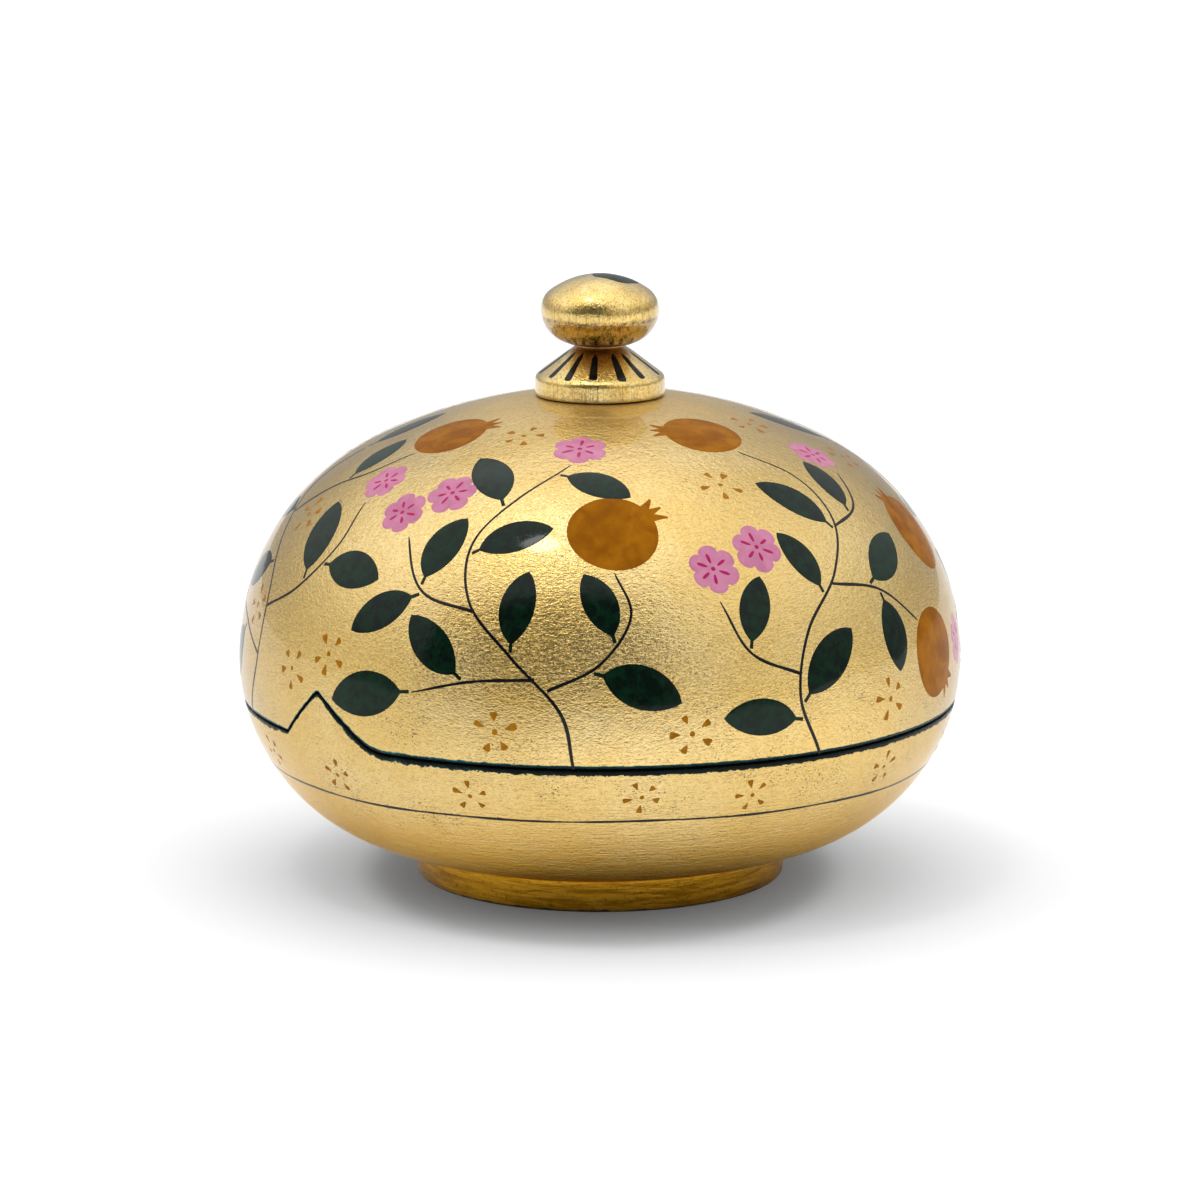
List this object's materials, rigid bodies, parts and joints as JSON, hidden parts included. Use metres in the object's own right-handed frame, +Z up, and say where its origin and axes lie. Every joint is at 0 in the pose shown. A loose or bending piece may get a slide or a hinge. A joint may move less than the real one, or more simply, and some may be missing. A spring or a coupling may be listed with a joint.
{
  "type": "trinket box",
  "caption": "Round domed keepsake box of gilded papier-mache on a foot ring, with a lift-off lid that a tooth on the bowl's rim keys in place and a turned knob on top.",
  "frame": {"origin": "centre of the foot ring on the table", "axes": "+Z up along the box's turning axis, -Y towards the front, so the rim's tooth stands at the front left"},
  "size_m": [0.14, 0.14, 0.1173],
  "materials": {
    "gilded_shell": "papier-mache with gold leaf under clear gloss lacquer, dark lacquer inside",
    "collar_card": "card strip in dark green-black lacquer",
    "turned_wood": "turned wood with gold leaf under clear gloss lacquer"
  },
  "bodies": {
    "base": {"base_bowl": "gilded_shell", "inner_collar": "collar_card", "foot_ring": "turned_wood"},
    "lid": {"lid_shell": "gilded_shell", "lid_knob": "turned_wood"}
  },
  "joints": [
    {"name": "lid_lift", "type": "slide", "parent": "base", "child": "lid", "axis": [0, 0, 1], "range_m": [0, 0.12]}
  ]
}
